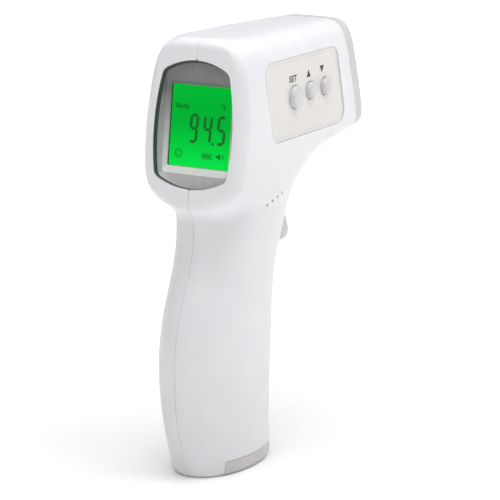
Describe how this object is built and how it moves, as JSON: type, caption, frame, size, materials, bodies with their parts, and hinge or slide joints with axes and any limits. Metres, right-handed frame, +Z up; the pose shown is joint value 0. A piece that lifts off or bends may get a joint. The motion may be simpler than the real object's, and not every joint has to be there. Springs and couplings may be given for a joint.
{
  "type": "infrared forehead thermometer",
  "caption": "Gun-shaped non-contact infrared thermometer with a backlit display, side keys, a trigger, a nose sensor and a battery handle with a sliding cover.",
  "frame": {"origin": "middle of the bounding box underside: the plane of the flat foot of the handle", "axes": "+X forward, the way the sensor in the nose looks; +Y to the left of the person holding it; +Z up, along the handle"},
  "size_m": [0.1038, 0.0404, 0.1491],
  "materials": {
    "white_shell": "satin",
    "grey_trim": "satin",
    "bezel_grey": "satin",
    "label_film": "satin",
    "key_plastic": "satin",
    "display_glass": "gloss",
    "light_guide": "gloss",
    "white_nylon": "matte",
    "elastomer": "matte",
    "circuit_board": "satin",
    "black_plastic": "matte",
    "steel": "satin",
    "cell_jacket": "gloss",
    "cone_metal": "satin",
    "sensor_filter": "gloss",
    "red_wire": "satin",
    "black_wire": "satin",
    "grey_cable": "satin"
  },
  "bodies": {
    "root": {"right_shell": "white_shell", "left_shell": "white_shell", "nose_cap": "grey_trim", "display_bezel": "bezel_grey", "lcd_panel": "display_glass", "lcd_frame": "white_nylon", "lcd_backlight": "light_guide", "zebra_strips": "elastomer", "main_board": "circuit_board", "board_chips": "black_plastic", "board_screws": "steel", "key_label": "label_film", "set_switch": "steel", "up_switch": "steel", "down_switch": "steel", "key_board": "circuit_board", "key_board_screws": "steel", "trigger_pin": "steel", "trigger_board": "circuit_board", "trigger_switch": "steel", "reflector_cone": "cone_metal", "sensor_housing": "black_plastic", "sensor_can": "steel", "sensor_window": "sensor_filter", "sensor_board": "circuit_board", "buzzer": "black_plastic", "battery_tray": "white_nylon", "battery_left": "cell_jacket", "battery_right": "cell_jacket", "battery_contacts": "steel", "battery_spring": "steel", "shell_screws": "steel", "battery_lead_red": "red_wire", "battery_lead_black": "black_wire", "sensor_cable": "grey_cable", "key_cable": "grey_cable", "trigger_cable": "grey_cable", "buzzer_leads": "red_wire"},
    "set_key": {"set_button": "key_plastic", "set_plunger": "black_plastic"},
    "up_key": {"up_button": "key_plastic", "up_plunger": "black_plastic"},
    "down_key": {"down_button": "key_plastic", "down_plunger": "black_plastic"},
    "trigger_lever": {"trigger": "grey_trim"},
    "trigger_tip": {"trigger_plunger": "black_plastic"},
    "battery_cover": {"battery_door": "grey_trim", "battery_bridge": "steel"}
  },
  "joints": [
    {"name": "set_press", "type": "slide", "parent": "root", "child": "set_key", "axis": [-0.0558, 0.9981, -0.0262], "range_m": [0, 0.0004], "stiffness_N_per_m": 1500},
    {"name": "up_press", "type": "slide", "parent": "root", "child": "up_key", "axis": [-0.0558, 0.9981, -0.0262], "range_m": [0, 0.0004], "stiffness_N_per_m": 1500},
    {"name": "down_press", "type": "slide", "parent": "root", "child": "down_key", "axis": [-0.0558, 0.9981, -0.0262], "range_m": [0, 0.0004], "stiffness_N_per_m": 1500},
    {"name": "trigger_pull", "type": "hinge", "parent": "root", "child": "trigger_lever", "pos_m": [0.00343, 0, 0.089], "axis": [0, 1, 0], "range_deg": [0, 5], "stiffness_Nm_per_rad": 0.4},
    {"name": "trigger_tip_press", "type": "slide", "parent": "root", "child": "trigger_tip", "axis": [-1, 0, 0], "range_m": [0, 0.0012]},
    {"name": "battery_cover_slide", "type": "slide", "parent": "root", "child": "battery_cover", "axis": [1, 0, 0], "range_m": [0, 0.016]}
  ],
  "couplings": [
    {"joint": "trigger_tip_press", "follows": "trigger_pull", "m_per_rad": 0.0122}
  ]
}
